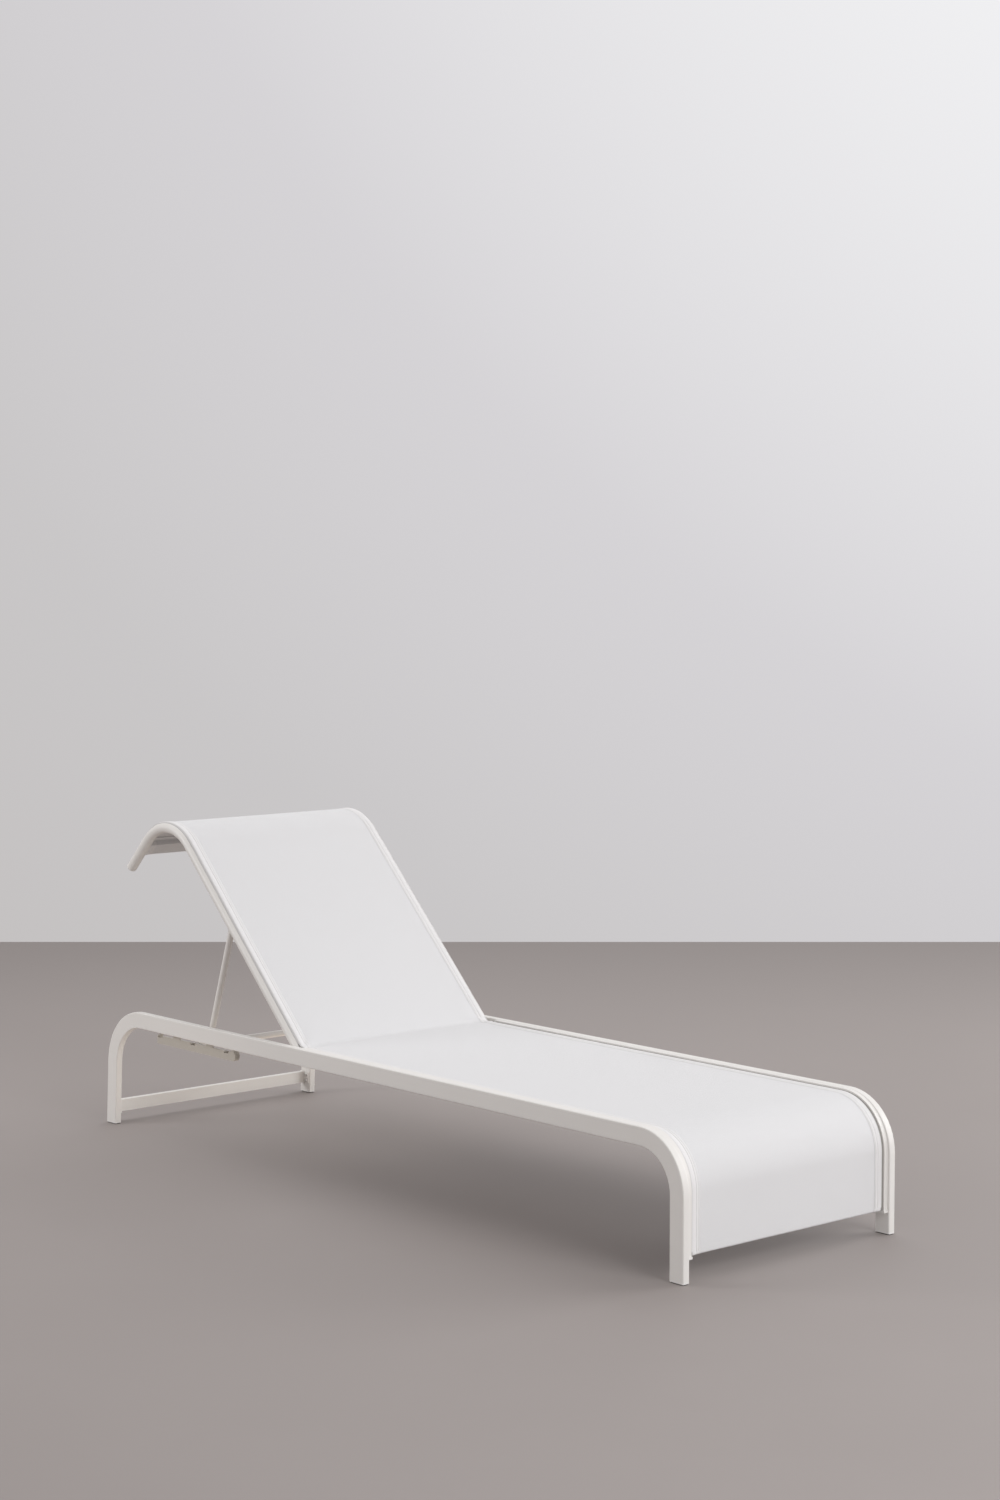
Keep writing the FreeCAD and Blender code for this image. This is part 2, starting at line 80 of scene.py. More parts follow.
# Seat
foot_bend_radius = 0.1168
seat_groove_mouth = 0.291
hem_end_mouth = 0.2892
free_mouth = 0.2900
ear_mouth = 0.2960
track_cap_mouth = 0.2894
tongue_depth = 0.0020
rail_inner = 0.302
flange_thickness = 0.003
spreader_width = 0.030
head_bar_thickness = 0.015
track_end_x = -0.225

# Cloth
cloth_thickness = 0.0009
crease_radius = 0.022
tuck_width = 0.0055
tuck_depth = 0.0021
hem_edge = 0.0256
thread_radius = 0.00027
stitch_pitch = 0.0042
stitch_length = 0.0034
stitch_lift = 0.00040
under_stitch_lift = -0.00055
side_seams = (0.017, 0.023)
corner_seams = (0.0060, 0.0112, 0.0285)
corner_seam_length = 0.046
cross_seam_inset = 0.027

joints = {joint["name"]: joint for joint in frame["joints"]}
hinge = Vector(joints["backrest_hinge"]["pos_m"])
prop_pivot = Vector(joints["prop_pivot"]["pos_m"])
seat_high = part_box("seat_sling")[1]
rod_low, rod_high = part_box("sling_hem_rod")


# Helpers for shapes

def on_backrest(x, y, z):
    """Point of the frame for a point on the flat backrest, whose hinge is the origin and head is at -X."""
    turn = backrest_angle
    return Vector((x * math.cos(turn) + z * math.sin(turn), y,
                   z * math.cos(turn) - x * math.sin(turn))) + hinge


def smooth(share):
    share = min(max(share, 0.0), 1.0)
    return share * share * (3 - 2 * share)


def graph(*knots):
    """Smooth curve through (distance, value) knots, level beyond them."""
    def value(distance):
        for (start, low), (end, high) in zip(knots, knots[1:]):
            if distance < end:
                return low + (high - low) * smooth((distance - start) / (end - start))
        return knots[-1][1]
    return value


class Path:
    """Straight runs joined by arcs in the side plane, read by the distance along them."""

    def __init__(self, corners, radii, step):
        corners = [Vector(corner) for corner in corners]
        self.points = [corners[0]]
        self.bends = []
        for before, corner, after, radius in zip(corners, corners[1:], corners[2:], radii):
            towards = (corner - before).normalized()
            away = (after - corner).normalized()
            turn = towards.angle(away)
            setback = radius * math.tan(turn / 2)
            inwards = (away - towards).normalized()
            centre = corner + inwards * radius / math.cos(turn / 2)
            self.run_to(corner - towards * setback, step)
            start = self.length()
            arm = self.points[-1] - centre
            pieces = max(4, math.ceil(turn * radius / step), math.ceil(turn / math.radians(12)))
            for piece in range(1, pieces + 1):
                angle = turn * piece / pieces
                self.points.append(centre + arm * math.cos(angle) + towards * radius * math.sin(angle))
            self.bends.append((start, self.length()))
        self.run_to(corners[-1], step)
        self.distances = [0.0]
        for one, following in zip(self.points, self.points[1:]):
            self.distances.append(self.distances[-1] + (following - one).length)
        self.normals = []
        for before, after in zip([self.points[0]] + self.points[:-1], self.points[1:] + [self.points[-1]]):
            along = (after - before).normalized()
            self.normals.append(Vector((along.y, -along.x)))

    def length(self):
        return sum((b - a).length for a, b in zip(self.points, self.points[1:]))

    def run_to(self, end, step):
        start = self.points[-1]
        pieces = max(1, math.ceil((end - start).length / step))
        for piece in range(1, pieces + 1):
            self.points.append(start.lerp(end, piece / pieces))

    def at(self, distance):
        """Point and outward normal at a distance."""
        distance = min(max(distance, 0.0), self.distances[-1])
        low, high = 0, len(self.distances) - 1
        while high - low > 1:
            middle = (low + high) // 2
            if self.distances[middle] <= distance:
                low = middle
            else:
                high = middle
        share = (distance - self.distances[low]) / (self.distances[high] - self.distances[low])
        point = self.points[low].lerp(self.points[high], share)
        return point, self.normals[low].lerp(self.normals[high], share).normalized()


def mesh_piece(name, vertices, faces, sharp_angle=None):
    mesh = bpy.data.meshes.new(name)
    mesh.from_pydata([tuple(vertex) for vertex in vertices], [], faces)
    mesh.validate()
    mesh.polygons.foreach_set("use_smooth", [True] * len(mesh.polygons))
    if sharp_angle is not None:
        mesh.set_sharp_from_angle(angle=math.radians(sharp_angle))
    piece = bpy.data.objects.new(name, mesh)
    bpy.context.scene.collection.objects.link(piece)
    return piece


# The sling: one cloth from the pocket round the foot rod, over the foot bend and the seat, up the backrest,
# over the curl and round the flat head crossbar. Its side hems hold cords that run in the grooves.

def flat_to_side(x, z):
    """(x, z) in the side plane for a point on the flat backrest."""
    place = on_backrest(x, 0, z)
    return place.x, place.z


def sling_path():
    face_x = seat_high.x - 0.0005
    top_z = seat_high.z - 0.0005
    rod = (rod_low + rod_high) / 2
    wrap = face_x - rod.x
    lap = 0.00105
    foot_pocket = [(face_x - lap, rod.z + 0.016), (face_x - lap, rod.z + 0.008),
                   (rod.x - wrap, rod.z + 0.0035), (rod.x - wrap, rod.z - wrap), (face_x, rod.z - wrap)]
    foot_radii = [0.004, 0.004, wrap, wrap]

    crease_along = (top_z - hinge.z - sling_rise * math.cos(backrest_angle)) / math.sin(backrest_angle)
    tail_x = -backrest_straight - tube_curl_radius - sling_rise
    bar_wrap = (sling_rise - 0.0012) / 2
    inner_x = tail_x + 2 * bar_wrap
    tail_z = -tube_curl_radius
    fold_x = tail_x + lap + 0.0018
    head_pocket = [(tail_x, tail_z - 0.0651), (inner_x, tail_z - 0.0651), (inner_x, tail_z - 0.0255),
                   (tail_x + lap, tail_z - 0.0225), (tail_x + lap, tail_z - 0.0090),
                   (fold_x, tail_z - 0.0090), (fold_x, tail_z - 0.0140)]
    head_radii = [bar_wrap, bar_wrap, 0.0020, 0.0020, 0.0009, 0.0009]

    corners = foot_pocket + [(face_x, top_z), flat_to_side(-crease_along, sling_rise),
                             flat_to_side(tail_x, sling_rise)]
    corners += [flat_to_side(*corner) for corner in head_pocket]
    radii = foot_radii + [foot_bend_radius, crease_radius, tube_curl_radius + sling_rise] + head_radii
    return Path(corners, radii, 0.007)


path = sling_path()
rod_wrap_end = path.bends[3][1]
foot_bend, crease, curl = path.bends[4:7]
bar_wrap_start = path.bends[7][0]
crease_middle = (crease[0] + crease[1]) / 2
track_end = crease[0] + path.at(crease[0])[0].x - track_end_x
tube_start = crease[1] + 0.002
tail_end = bar_wrap_start - 0.004

# Distance of the cloth's visible edge from the middle plane
groove_mouth = graph((rod_wrap_end + 0.002, hem_end_mouth), (rod_wrap_end + 0.005, seat_groove_mouth),
                     (track_end - 0.001, seat_groove_mouth), (track_end + 0.001, track_cap_mouth),
                     (track_end + 0.0055, track_cap_mouth), (track_end + 0.0085, ear_mouth),
                     (track_end + 0.0130, ear_mouth), (track_end + 0.0170, free_mouth),
                     (tube_start, free_mouth), (tube_start + 0.004, backrest_groove_mouth),
                     (tail_end, backrest_groove_mouth), (tail_end + 0.003, pocket_mouth))
# How far the edge reaches into the slot beyond the mouth
tongue = graph((rod_wrap_end + 0.003, 0.0), (rod_wrap_end + 0.005, tongue_depth),
               (track_end - 0.002, tongue_depth), (track_end - 0.001, 0.0))
# How far the edge turns down into the slot on top of a backrest tube
tuck = graph((tube_start, 0.0), (tube_start + 0.004, tuck_depth),
             (tail_end, tuck_depth), (tail_end + 0.002, 0.0))
# How strongly painted shade darkens the grooves and seams: fuller on the seat, fainter on the backrest
groove_shade_strength = graph((crease[0], 0.95), (crease[1], 0.40))
# How far the middle of the cloth hangs below its edges
sag = graph((rod_wrap_end, 0.0), (foot_bend[0], 0.0012), (foot_bend[1], 0.0010),
            ((foot_bend[1] + crease[0]) / 2, 0.0035), (crease[0] - 0.1, 0.0018), (crease_middle, 0.0006),
            (crease[1] + 0.05, 0.0008), ((crease[1] + curl[0]) / 2, 0.0022), (curl[0], 0.0008),
            (curl[1], 0.0004), (bar_wrap_start - 0.03, 0.0))

# Section of a side hem: distance in from the groove's mouth, and the faces above and below the middle
# of the cloth. The hem is a doubled cloth, drawn in along its two seams.
hem_section = [(0.0, 0.00060, -0.00060), (0.0030, 0.00080, -0.00080), (0.0065, 0.00150, -0.00110),
               (0.0115, 0.00140, -0.00110), (0.0152, 0.00105, -0.00090), (0.0163, 0.00080, -0.00080),
               (0.0170, 0.00035, -0.00055), (0.0177, 0.00080, -0.00080), (0.0200, 0.00110, -0.00095),
               (0.0223, 0.00080, -0.00080), (0.0230, 0.00035, -0.00055), (0.0237, 0.00075, -0.00080),
               (0.0252, 0.00085, -0.00086), (0.0256, 0.00045, -0.00038), (0.0290, 0.00047, -0.00040),
               (0.0340, 0.00045, -0.00045)]
hem_width = hem_section[-1][0]
middle_columns = 34


def wrinkle(distance, y):
    """Small folds that run out of the corners at the hinge, and the faint unevenness of stretched cloth."""
    corner = Vector((distance - crease_middle, groove_mouth(crease_middle) - abs(y)))
    reach = corner.length
    bearing = math.atan2(corner.y, corner.x)
    fading = math.exp(-(reach / 0.050) ** 2)
    folds = 0.0021 * fading * math.sin(5.0 * bearing + 40.0 * reach) * smooth(reach / 0.010)
    uneven = 0.00035 * noise.noise(Vector((distance * 7.0, y * 5.0, 3.7)))
    edge = smooth((groove_mouth(distance) - abs(y)) / 0.03)
    return (folds + uneven) * edge


def sling_point(distance, y, lift):
    """Point at a distance along the cloth and a place across it, lifted off its middle."""
    point, normal = path.at(distance)
    share = y / groove_mouth(distance)
    edge = max(0.0, 1 - (groove_mouth(distance) - abs(y)) / tuck_width)
    height = lift - sag(distance) * max(0.0, 1 - share * share) + wrinkle(distance, y)
    height -= tuck(distance) * edge ** 3
    return Vector((point.x + normal.x * height, y, point.y + normal.y * height))


def sling_columns(distance):
    """(y, upper face, lower face) from one side to the other."""
    mouth = groove_mouth(distance)
    left = [(mouth + tongue(distance), 0.00075, -0.00075)]
    left += [(mouth - inset, upper, lower) for inset, upper, lower in hem_section]
    middle_edge = mouth - hem_width
    middle = [(middle_edge * (1 - 2 * column / middle_columns), cloth_thickness / 2, -cloth_thickness / 2)
              for column in range(1, middle_columns)]
    right = [(-y, upper, lower) for y, upper, lower in reversed(left)]
    return left + middle + right


def sling_rows():
    """Distances of the cloth's rows, closer together where its width changes."""
    close = [path.distances[0]]
    steps = [(rod_wrap_end, 0.006), (track_end - 0.003, 0.006),
             (crease[0] - 0.002, crease[1] - crease[0] + 0.01), (tail_end - 0.004, 0.008)]
    extra = [start + piece * 0.001 for start, span in steps for piece in range(int(span / 0.001) + 1)]
    for distance in sorted(path.distances + extra):
        if distance - close[-1] > 0.0004:
            close.append(distance)
    return close


def make_sling():
    rows = sling_rows()
    vertices, faces, places, edge_distances = [], [], [], []
    columns = [sling_columns(distance) for distance in rows]
    across = len(columns[0])
    for side in (1, 2):
        for distance, row in zip(rows, columns):
            for column in row:
                vertices.append(sling_point(distance, column[0], column[side]))
                places.append((column[0], distance))
                edge_distances.append(groove_mouth(distance) - abs(column[0]))
    under = len(rows) * across
    for row in range(len(rows) - 1):
        for column in range(across - 1):
            corner = row * across + column
            faces.append((corner, corner + 1, corner + across + 1, corner + across))
            corner += under
            faces.append((corner, corner + across, corner + across + 1, corner + 1))
    for row in range(len(rows) - 1):
        for column, order in ((0, 1), (across - 1, -1)):
            corner = row * across + column
            faces.append((corner, corner + across, corner + across + under, corner + under)[::order])
    for column in range(across - 1):
        for row, order in ((0, -1), (len(rows) - 1, 1)):
            corner = row * across + column
            faces.append((corner, corner + 1, corner + 1 + under, corner + under)[::-order])
    sling = mesh_piece("sling", vertices, faces, 50)
    weave = sling.data.uv_layers.new(name="weave")
    for loop in sling.data.loops:
        weave.data[loop.index].uv = places[loop.vertex_index]
    from_edge = sling.data.attributes.new(name="from_edge", type="FLOAT", domain="POINT")
    from_edge.data.foreach_set("value", edge_distances)
    # Strength of the painted shade in the grooves and seams, read by the cloth's material
    painted_shade_strength = sling.data.attributes.new(name="groove_shade_strength", type="FLOAT", domain="POINT")
    painted_shade_strength.data.foreach_set("value", [groove_shade_strength(distance) for y, distance in places])
    return sling


# Stitching

def stitch(vertices, faces, start, end, normal):
    """One thread between two needle holes, as a spindle of five sides that lies on the cloth."""
    sides = 5
    along = (end - start).normalized()
    aside = along.cross(normal).normalized()
    first = len(vertices)
    vertices.append(start - normal * thread_radius)
    for share in (0.22, 0.78):
        centre = start.lerp(end, share) + normal * thread_radius * 0.5
        for side in range(sides):
            turn = 2 * math.pi * side / sides
            vertices.append(centre + (aside * math.cos(turn) + normal * math.sin(turn)) * thread_radius)
    vertices.append(end - normal * thread_radius)
    near = first + 1
    far = near + sides
    last = far + sides
    for side in range(sides):
        following = (side + 1) % sides
        faces.append((first, near + following, near + side))
        faces.append((near + side, near + following, far + following, far + side))
        faces.append((last, far + side, far + following))


def seam(vertices, faces, places, lift):
    """Stitches between places given as (distance, y), on the upper face if lift is above 0."""
    for (distance_a, y_a), (distance_b, y_b) in places:
        start = sling_point(distance_a, y_a, lift)
        end = sling_point(distance_b, y_b, lift)
        normal = path.at((distance_a + distance_b) / 2)[1] * math.copysign(1.0, lift)
        stitch(vertices, faces, start, end, Vector((normal.x, 0, normal.y)))


def side_seam_places(inset, side, start, end):
    count = int((end - start) / stitch_pitch)
    for index in range(count):
        distance = start + index * stitch_pitch
        following = distance + stitch_length
        yield ((distance, side * (groove_mouth(distance) - inset)),
               (following, side * (groove_mouth(following) - inset)))


def cross_seam_places(distance, half_width):
    count = int(2 * half_width / stitch_pitch)
    for index in range(count):
        y = -half_width + index * stitch_pitch
        yield (distance, y), (distance, y + stitch_length)


def bartack_places(distance, y, length=0.011, width=0.0026, pitch=0.0006):
    """Close stitches that lock the end of a seam."""
    for index in range(int(length / pitch)):
        along = distance + index * pitch
        yield (along, y - width / 2), (along + pitch / 2, y + width / 2)


def make_stitching(name, lift):
    vertices, faces = [], []
    foot_seam = rod_wrap_end + 0.0095
    head_seam = curl[1] + 0.0085
    bottom = rod_wrap_end + 0.001
    top = bar_wrap_start - 0.002
    for side in (-1, 1):
        for inset in side_seams:
            seam(vertices, faces, side_seam_places(inset, side, bottom, top), lift)
            for tack in (bottom + 0.001, top - 0.013):
                y = side * (groove_mouth(tack) - inset)
                seam(vertices, faces, bartack_places(tack, y), lift)
        for inset in corner_seams:
            seam(vertices, faces, side_seam_places(inset, side, bottom, bottom + corner_seam_length), lift)
    seam(vertices, faces, cross_seam_places(foot_seam, groove_mouth(foot_seam) - cross_seam_inset), lift)
    seam(vertices, faces, cross_seam_places(head_seam, groove_mouth(head_seam) - cross_seam_inset), lift)
    return mesh_piece(name, vertices, faces)


# Weld beads under the coating, where bars meet tubes and flanges

def bead(vertices, faces, points, radius):
    """Closed rippled bead along a loop of points."""
    sides = 7
    count = len(points)
    first = len(vertices)
    for index, point in enumerate(points):
        along = (points[(index + 1) % count] - points[index - 1]).normalized()
        aside = along.orthogonal().normalized()
        upwards = along.cross(aside)
        swell = radius * (1 + 0.13 * math.cos(index * math.pi / 1.5) + 0.1 * noise.noise(point * 300))
        for side in range(sides):
            turn = 2 * math.pi * side / sides
            vertices.append(point + (aside * math.cos(turn) + upwards * math.sin(turn)) * swell)
    for index in range(count):
        following = (index + 1) % count
        for side in range(sides):
            beside = (side + 1) % sides
            faces.append((first + index * sides + side, first + index * sides + beside,
                          first + following * sides + beside, first + following * sides + side))


def outline(low_a, high_a, low_b, high_b, step=0.001):
    """Points round a rectangle."""
    corners = [(low_a, low_b), (high_a, low_b), (high_a, high_b), (low_a, high_b)]
    points = []
    for one, following in zip(corners, corners[1:] + corners[:1]):
        span = math.dist(one, following)
        count = max(1, round(span / step))
        for index in range(count):
            share = index / count
            points.append((one[0] + (following[0] - one[0]) * share,
                           one[1] + (following[1] - one[1]) * share))
    return points


def plates_welds(name, bars, body):
    """Beads where the ends of straight crossbars meet their flanges.

    A bar is (low x, high x, low z, high z).
    """
    vertices, faces = [], []
    flange_face = rail_inner - flange_thickness
    for low_x, high_x, low_z, high_z in bars:
        for side in (-1, 1):
            loop = [Vector((x, side * flange_face, z)) for x, z in outline(low_x, high_x, low_z, high_z)]
            bead(vertices, faces, loop, radius=0.0013)
    piece = mesh_piece(name, vertices, faces)
    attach(piece, body)
    return piece


def frame_welds():
    bars = []
    for place in ("rear", "middle", "foot"):
        low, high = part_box(f"seat_spreader_{place}")
        middle = (low.x + high.x) / 2
        bars.append((middle - spreader_width / 2, middle + spreader_width / 2, low.z, high.z))
    low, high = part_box("head_leg_crossbar")
    bars.append((low.x, low.x + head_bar_thickness, low.z, high.z))
    return plates_welds("frame_welds", bars, "frame")


def backrest_welds():
    vertices, faces = [], []
    tail_z = -tube_curl_radius
    tail_x = -backrest_straight - tube_curl_radius
    for along_low, along_high in welded_bars:
        for side in (-1, 1):
            loop = []
            for x, z in outline(-along_high, -along_low, *welded_bar_rises):
                y = tube_centre - math.sqrt(tube_radius ** 2 - z ** 2)
                loop.append(on_backrest(x, side * y, z))
            bead(vertices, faces, loop, radius=0.0013)
    for side in (-1, 1):
        loop = []
        for z, rise in outline(tail_z - head_bar_tail[1], tail_z - head_bar_tail[0], *head_bar_rises):
            y = tube_centre - math.sqrt(tube_radius ** 2 - rise ** 2)
            loop.append(on_backrest(tail_x - rise, side * y, z))
        bead(vertices, faces, loop, radius=0.0010)
    piece = mesh_piece("backrest_welds", vertices, faces)
    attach(piece, "backrest")
    return piece


def prop_welds():
    """Saddle beads where the arms stand on the prop's crossbar."""
    vertices, faces = [], []
    low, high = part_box("prop_crossbar")
    bar = (low + high) / 2
    lean = math.atan2(prop_pivot.x - bar.x, prop_pivot.z - bar.z)
    pieces = 50
    for side in (-1, 1):
        loop = []
        for index in range(pieces):
            turn = 2 * math.pi * index / pieces
            across = prop_arm_radius * math.cos(turn)
            along = prop_arm_radius * math.sin(turn)
            up = math.sqrt(max(0.0, prop_arm_radius ** 2 - across ** 2))
            loop.append(Vector((bar.x + across * math.cos(lean) + up * math.sin(lean),
                                side * prop_arm_offset + along,
                                bar.z + up * math.cos(lean) - across * math.sin(lean))))
        bead(vertices, faces, loop, radius=0.0011)
    piece = mesh_piece("prop_welds", vertices, faces)
    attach(piece, "prop")
    return piece


# Materials

class Finish:
    """A material with one Principled shader, and short ways to add the nodes that drive it."""

    def __init__(self, name, **sockets):
        self.material = bpy.data.materials.new(name)
        self.material.use_nodes = True
        self.tree = self.material.node_tree
        self.shader = self.tree.nodes["Principled BSDF"]
        for socket, value in sockets.items():
            self.shader.inputs[socket.replace("_", " ")].default_value = value

    def add(self, kind, inputs=(), output=0, **settings):
        """A node with its inputs set or linked by name or number. Gives one of its outputs."""
        node = self.tree.nodes.new("ShaderNode" + kind)
        for setting, value in settings.items():
            setattr(node, setting, value)
        for socket, value in dict(inputs).items():
            if isinstance(value, bpy.types.NodeSocket):
                self.tree.links.new(value, node.inputs[socket])
            else:
                node.inputs[socket].default_value = value
        return node.outputs[output]

    def place(self):
        return self.add("TexCoord", output="Object")

    def math(self, operation, one, two=0.0):
        return self.add("Math", {0: one, 1: two}, operation=operation)

    def grain(self, scale, detail=2.0, vector=None, roughness=0.5):
        return self.add("TexNoise", {"Vector": vector or self.place(), "Scale": scale, "Detail": detail,
                                     "Roughness": roughness}, output="Fac")

    def between(self, share, low, high):
        """A number that goes from low to high with a share."""
        return self.add("MapRange", {"Value": share, "To Min": low, "To Max": high}, output="Result")

    def mix(self, share, one, two):
        node = self.tree.nodes.new("ShaderNodeMix")
        node.data_type = "RGBA"
        for socket, value in zip((0, 6, 7), (share, one, two)):
            if isinstance(value, bpy.types.NodeSocket):
                self.tree.links.new(value, node.inputs[socket])
            else:
                node.inputs[socket].default_value = value
        return node.outputs[2]

    def near(self, value, centre, reach):
        """A share that is 1 where a value is at a centre and falls to 0 at a reach from it."""
        away = self.math("ABSOLUTE", self.math("SUBTRACT", value, centre))
        return self.add("MapRange", {"Value": away, "From Max": reach, "To Min": 1.0, "To Max": 0.0},
                        output="Result")

    def colour(self, socket):
        self.tree.links.new(socket, self.shader.inputs["Base Color"])

    def roughness(self, socket):
        self.tree.links.new(socket, self.shader.inputs["Roughness"])

    def bump(self, height, distance, strength=1.0):
        normal = self.add("Bump", {"Height": height, "Distance": distance, "Strength": strength},
                          output="Normal")
        self.tree.links.new(normal, self.shader.inputs["Normal"])

    def edges(self, radius):
        """A share that rises towards 1 on the convex and concave edges of the shape."""
        rounded = self.add("Bevel", {"Radius": radius}, samples=4)
        flat = self.add("NewGeometry", output="Normal")
        aligned = self.add("VectorMath", {0: rounded, 1: flat}, output="Value", operation="DOT_PRODUCT")
        return self.add("MapRange", {"Value": aligned, "From Min": 0.995, "From Max": 0.86,
                                     "To Min": 0.0, "To Max": 1.0}, output="Result")


def coat(name, colour, rubbed, dusty, peel_scale, roughness):
    """Powder coat: orange peel, faint mottling towards a dustier tone and a rub along the edges."""
    finish = Finish(name)
    mottling = finish.grain(5.0, 3.0)
    shade = finish.mix(finish.between(mottling, 0.0, 1.0), colour, dusty)
    wear = finish.math("MULTIPLY", finish.edges(0.0012), finish.between(finish.grain(60.0, 4.0), 0.0, 0.9))
    finish.colour(finish.mix(wear, shade, rubbed))
    finish.roughness(finish.between(finish.grain(35.0, 3.0), roughness - 0.05, roughness + 0.07))
    peel = finish.math("ADD", finish.grain(peel_scale, 2.0),
                       finish.math("MULTIPLY", finish.grain(peel_scale * 3.2, 1.0), 0.35))
    finish.bump(peel, 0.00022, 0.55)
    return finish.material


def plastic(name, colour, shaded, roughness):
    """Moulded plastic with a fine spark-eroded grain."""
    finish = Finish(name)
    finish.colour(finish.mix(finish.grain(40.0, 4.0), colour, shaded))
    finish.roughness(finish.between(finish.grain(220.0, 2.0), roughness - 0.06, roughness + 0.08))
    finish.bump(finish.grain(1600.0, 2.0), 0.00010, 0.5)
    return finish.material


def steel(name):
    """Turned stainless steel with fine round tool marks."""
    finish = Finish(name, Metallic=1.0)
    marks = finish.grain(900.0, 3.0)
    finish.colour(finish.mix(marks, (0.80, 0.79, 0.78, 1.0), (0.66, 0.65, 0.64, 1.0)))
    finish.roughness(finish.between(finish.grain(300.0, 3.0), 0.22, 0.38))
    finish.bump(marks, 0.00004, 0.5)
    return finish.material


def cloth(name, colour, worn, doubled, gap, groove_shade_colour, pitch=0.0011):
    """Coated mesh cloth: a plain weave of round yarns, uneven yarns, and dark gaps between them.

    It is lighter where the hem is doubled, and painted shade darkens the groove and the seams along the hems.
    """
    finish = Finish(name, Sheen_Weight=0.12, Sheen_Roughness=0.5, Specular_IOR_Level=0.35)
    across = finish.add("SeparateXYZ", {0: finish.add("UVMap", uv_map="weave")}, output="X")
    counts = [finish.math("DIVIDE", across.node.outputs[axis], pitch) for axis in ("X", "Y")]
    yarns = [finish.math("ABSOLUTE", finish.math("SINE", finish.math("MULTIPLY", count, math.pi)))
             for count in counts]
    parity = finish.math("MODULO", finish.math("ADD", finish.math("FLOOR", counts[0]),
                                               finish.math("FLOOR", counts[1])), 2.0)
    over = finish.math("ABSOLUTE", parity)
    crowns = finish.math("MULTIPLY", yarns[0], yarns[1])
    warp = finish.math("MULTIPLY", over, yarns[0])
    weft = finish.math("MULTIPLY", finish.math("SUBTRACT", 1.0, over), yarns[1])
    height = finish.math("ADD", finish.math("ADD", warp, weft), finish.math("MULTIPLY", crowns, 0.6))
    slubs = []
    for stretch in ((900.0, 14.0, 1.0), (14.0, 900.0, 1.0)):
        slant = finish.add("VectorMath", {0: finish.add("UVMap", uv_map="weave"), 1: stretch},
                           operation="MULTIPLY")
        slubs.append(finish.grain(1.0, 2.0, slant))
    uneven = finish.math("ADD", slubs[0], slubs[1])
    depth = finish.between(height, 0.30, 0.0)
    tone = finish.mix(finish.between(uneven, 0.0, 0.5), colour, worn)
    from_edge = finish.add("Attribute", attribute_name="from_edge", output="Fac")
    hem = finish.add("MapRange", {"Value": from_edge, "From Min": hem_edge - 0.0006,
                                  "From Max": hem_edge + 0.0006,
                                  "To Min": 1.0, "To Max": 0.0}, output="Result")
    doubled_depth = finish.math("MULTIPLY", depth, 0.6)
    tone = finish.mix(hem, finish.mix(depth, tone, gap), finish.mix(doubled_depth, doubled, gap))
    # Painted shade: a dark band along the groove's mouth, and dark lines in the seam valleys and at the hem's
    # inner edge
    shade = finish.add("MapRange", {"Value": from_edge, "From Min": 0.0024, "From Max": 0.0056,
                                    "To Min": 1.0, "To Max": 0.0}, output="Result")
    for line, reach, strength in ((side_seams[0], 0.0011, 0.24), (side_seams[1], 0.0011, 0.24),
                                  (hem_edge + 0.0003, 0.0010, 0.34)):
        valley = finish.math("MULTIPLY", finish.near(from_edge, line, reach), strength)
        shade = finish.math("MAXIMUM", shade, valley)
    painted_shade_strength = finish.add("Attribute", attribute_name="groove_shade_strength", output="Fac")
    finish.colour(finish.mix(finish.math("MULTIPLY", shade, painted_shade_strength), tone, groove_shade_colour))
    finish.roughness(finish.between(uneven, 0.66, 0.78))
    finish.bump(finish.math("ADD", height, finish.math("MULTIPLY", uneven, 0.6)), 0.00016, 0.6)
    return finish.material


def thread(name):
    """Twisted polyester thread."""
    finish = Finish(name, Sheen_Weight=0.2)
    twist = finish.grain(2400.0, 2.0)
    finish.colour(finish.mix(twist, (0.80, 0.795, 0.785, 1.0), (0.62, 0.61, 0.60, 1.0)))
    finish.roughness(finish.between(twist, 0.5, 0.7))
    finish.bump(twist, 0.00008, 0.6)
    return finish.material


def floor_finish():
    """Plain pale floor with a faint cloudiness, like sealed screed."""
    finish = Finish("floor", Specular_IOR_Level=0.3)
    clouds = finish.grain(1.6, 6.0, roughness=0.6)
    finish.colour(finish.mix(finish.between(clouds, 0.0, 1.0),
                             (0.300, 0.268, 0.256, 1.0), (0.335, 0.302, 0.290, 1.0)))
    finish.roughness(finish.between(clouds, 0.55, 0.7))
    finish.bump(finish.grain(60.0, 5.0), 0.0006, 0.25)
    return finish.material


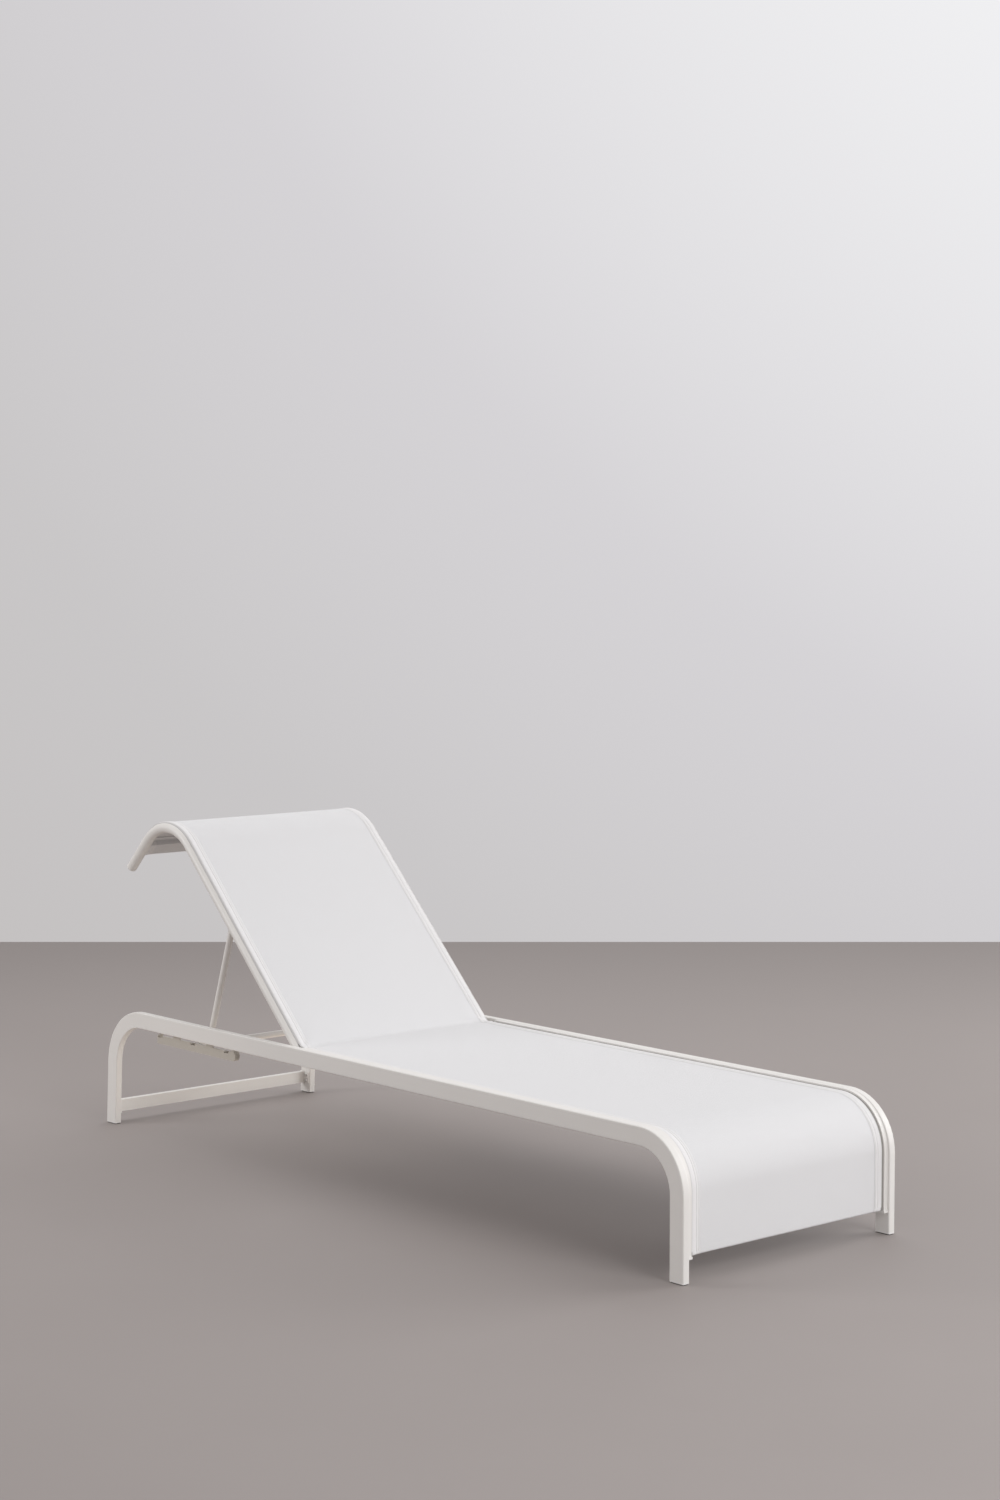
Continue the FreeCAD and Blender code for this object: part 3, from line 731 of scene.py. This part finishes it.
def make_finishes():
    return {
        "powder_coat": coat("powder_coat", (0.775, 0.758, 0.735, 1.0), (0.86, 0.85, 0.83, 1.0),
                            (0.745, 0.727, 0.70, 1.0), 700.0, 0.42),
        # Painted shade: a darker copy of the powder coat for the racks under the rails.
        "rack_coat_painted_shade": coat("rack_coat_painted_shade", (0.50, 0.47, 0.42, 1.0), (0.66, 0.63, 0.58, 1.0),
                          (0.46, 0.43, 0.385, 1.0), 700.0, 0.46),
        "white_plastic": plastic("white_plastic", (0.80, 0.79, 0.77, 1.0), (0.76, 0.75, 0.73, 1.0), 0.40),
        "glide_rubber": plastic("glide_rubber", (0.030, 0.030, 0.031, 1.0),
                                (0.045, 0.044, 0.043, 1.0), 0.62),
        "keder_plastic": plastic("keder_plastic", (0.70, 0.70, 0.69, 1.0), (0.64, 0.64, 0.63, 1.0), 0.35),
        "nylon": plastic("nylon", (0.72, 0.70, 0.65, 1.0), (0.66, 0.64, 0.60, 1.0), 0.45),
        "stainless": steel("stainless"),
        # The cloth's last colour is its painted shade in the grooves and seams.
        "sling_fabric": cloth("sling_fabric", (0.745, 0.745, 0.755, 1.0), (0.70, 0.70, 0.707, 1.0),
                              (0.79, 0.782, 0.785, 1.0), (0.42, 0.42, 0.43, 1.0),
                              (0.30, 0.285, 0.27, 1.0)),
        "thread": thread("thread"),
    }


def dress(piece, material):
    piece.data.materials.clear()
    piece.data.materials.append(material)


# Stage

def make_camera():
    data = bpy.data.cameras.new("camera")
    data.lens = focal_length
    camera = bpy.data.objects.new("camera", data)
    camera.location = camera_place
    camera.rotation_euler = (math.radians(90 - camera_pitch), 0, math.radians(camera_heading))
    bpy.context.scene.collection.objects.link(camera)
    bpy.context.scene.camera = camera


def make_floor():
    """Level floor that ends in a straight edge behind the lounger."""
    heading = math.radians(camera_heading)
    away = Vector((-math.sin(heading), math.cos(heading), 0))
    aside = Vector((math.cos(heading), math.sin(heading), 0))
    back, front, half_width = 3.86, -40.0, 40.0
    corners = [away * front - aside * half_width, away * front + aside * half_width,
               away * back + aside * half_width, away * back - aside * half_width]
    floor = mesh_piece("floor", corners, [(0, 1, 2, 3)])
    dress(floor, floor_finish())


def make_world():
    """Even pale surroundings that grow lighter towards one upper corner behind the lounger."""
    world = bpy.data.worlds.new("surroundings")
    bpy.context.scene.world = world
    world.use_nodes = True
    tree = world.node_tree
    heading = math.radians(camera_heading)
    away = Vector((-math.sin(heading), math.cos(heading), 0))
    aside = Vector((math.cos(heading), math.sin(heading), 0))
    direction = tree.nodes.new("ShaderNodeTexCoord")
    facing = tree.nodes.new("ShaderNodeVectorMath")
    facing.operation = "DOT_PRODUCT"
    facing.inputs[1].default_value = (away + aside * 0.45 + Vector((0, 0, 0.5))).normalized()
    ramp = tree.nodes.new("ShaderNodeValToRGB").color_ramp
    ramp.elements[0].position = 0.66
    ramp.elements[0].color = (0.545, 0.525, 0.522, 1.0)
    ramp.elements[1].position = 0.96
    ramp.elements[1].color = (0.90, 0.90, 0.915, 1.0)
    for position, colour in ((0.76, (0.585, 0.57, 0.575, 1.0)), (0.85, (0.67, 0.655, 0.675, 1.0))):
        ramp.elements.new(position).color = colour
    tree.links.new(direction.outputs["Generated"], facing.inputs[0])
    tree.links.new(facing.outputs["Value"], tree.nodes["Color Ramp"].inputs["Fac"])
    tree.links.new(tree.nodes["Color Ramp"].outputs["Color"], tree.nodes["Background"].inputs["Color"])


def softbox(name, place, target, size, power, colour=(1.0, 1.0, 1.0)):
    data = bpy.data.lights.new(name, "AREA")
    data.shape = "RECTANGLE"
    data.size, data.size_y = size
    data.energy = power
    data.color = colour
    lamp = bpy.data.objects.new(name, data)
    lamp.location = place
    lamp.rotation_euler = (Vector(target) - Vector(place)).to_track_quat("-Z", "Y").to_euler()
    lamp.visible_camera = False
    bpy.context.scene.collection.objects.link(lamp)


def make_lights():
    softbox("overhead_softbox", (-1.6, 0.6, 3.3), (-0.2, 0.0, 0.3), (3.6, 2.6), 31.0)
    softbox("foot_low_softbox", (5.5, -0.8, 1.0), (0.4, 0.0, 0.3), (3.0, 2.0), 20.0)
    softbox("foot_high_softbox", (4.6, -0.4, 2.4), (0.6, 0.0, 0.2), (2.0, 1.6), 66.0, (0.97, 0.985, 1.0))
    softbox("head_softbox", (-3.0, -3.6, 1.8), (-0.8, -0.2, 0.2), (1.6, 1.6), 62.0)
    softbox("floor_bounce", (-0.72, 0.0, 0.03), (-0.86, 0.0, 0.7), (0.9, 0.5), 1.0, (1.0, 0.86, 0.70))
    softbox("far_softbox", (2.4, 4.4, 1.7), (0.2, 0.0, 0.3), (3.0, 2.0), 120.0)


# Build

bpy.context.scene.view_settings.view_transform = "Standard"
make_camera()
make_world()
make_floor()
make_lights()
finishes = make_finishes()

for part in frame["record"]["subparts"]:
    dress(frame["nodes"][part["node"]], finishes[part["material_slot"]])

# The racks get a darker beige copy of the frame's coat, a painted shade for the shade they lie in under the rails.
for node in ("prop_rack_left", "prop_rack_right"):
    dress(frame["nodes"][node], finishes["rack_coat_painted_shade"])

for welds in (frame_welds(), backrest_welds(), prop_welds()):
    dress(welds, finishes["powder_coat"])

sling = make_sling()
dress(sling, finishes["sling_fabric"])
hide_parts("seat_sling", "backrest_sling")

stitching = [make_stitching("sling_stitching", stitch_lift),
             make_stitching("sling_stitching_under", under_stitch_lift)]
for piece in stitching:
    dress(piece, finishes["thread"])

blend_start = sling_point(crease_middle - 0.016, 0.0, 0.0)
blend_end = sling_point(crease_middle + 0.008, 0.0, 0.0)
for piece in (sling, *stitching):
    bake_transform(piece)
